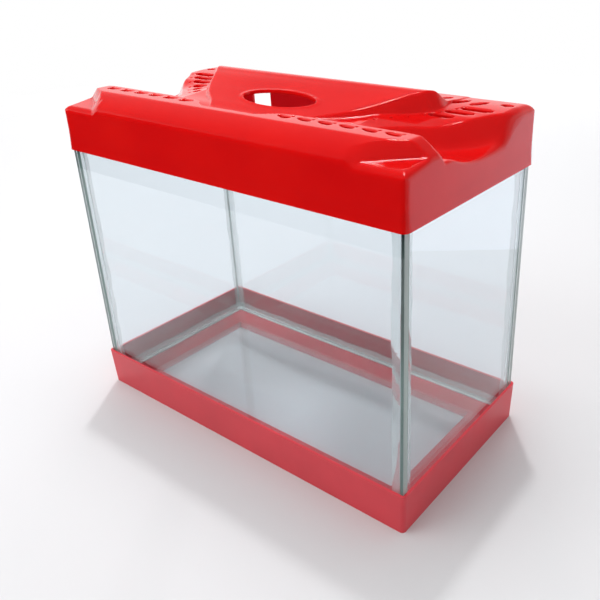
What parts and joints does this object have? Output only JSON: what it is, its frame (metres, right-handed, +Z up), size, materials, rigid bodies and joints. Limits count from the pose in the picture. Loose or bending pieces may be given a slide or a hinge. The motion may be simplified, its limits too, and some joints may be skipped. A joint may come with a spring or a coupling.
{
  "type": "desktop aquarium",
  "caption": "Small rectangular glass tank standing in a red moulded tray, with a red moulded lift-off hood that has a feed hole, vents and a cable window.",
  "frame": {"origin": "on the floor under the middle of the tray", "axes": "+X along the long side to the right, -Y out of the long front, +Z up"},
  "size_m": [0.305, 0.155, 0.2578],
  "materials": {
    "float_glass": "clear float glass with cut edges",
    "clear_silicone": "clear silicone sealant",
    "tray_plastic": "red moulded plastic",
    "hood_plastic": "glossy red moulded plastic"
  },
  "bodies": {
    "tank": {"base_tray": "tray_plastic", "front_pane": "float_glass", "back_pane": "float_glass", "left_pane": "float_glass", "right_pane": "float_glass", "bottom_pane": "float_glass", "front_left_joint": "clear_silicone", "front_right_joint": "clear_silicone", "back_left_joint": "clear_silicone", "back_right_joint": "clear_silicone", "floor_front_joint": "clear_silicone", "floor_back_joint": "clear_silicone", "floor_left_joint": "clear_silicone", "floor_right_joint": "clear_silicone", "front_left_bead": "clear_silicone", "front_right_bead": "clear_silicone", "back_left_bead": "clear_silicone", "back_right_bead": "clear_silicone", "floor_front_bead": "clear_silicone", "floor_back_bead": "clear_silicone", "floor_left_bead": "clear_silicone", "floor_right_bead": "clear_silicone", "front_bed": "clear_silicone", "back_bed": "clear_silicone", "left_bed": "clear_silicone", "right_bed": "clear_silicone"},
    "hood": {"hood_shell": "hood_plastic"}
  },
  "joints": [
    {"name": "hood_lift", "type": "slide", "parent": "tank", "child": "hood", "axis": [0, 0, 1], "range_m": [0, 0.1]}
  ]
}
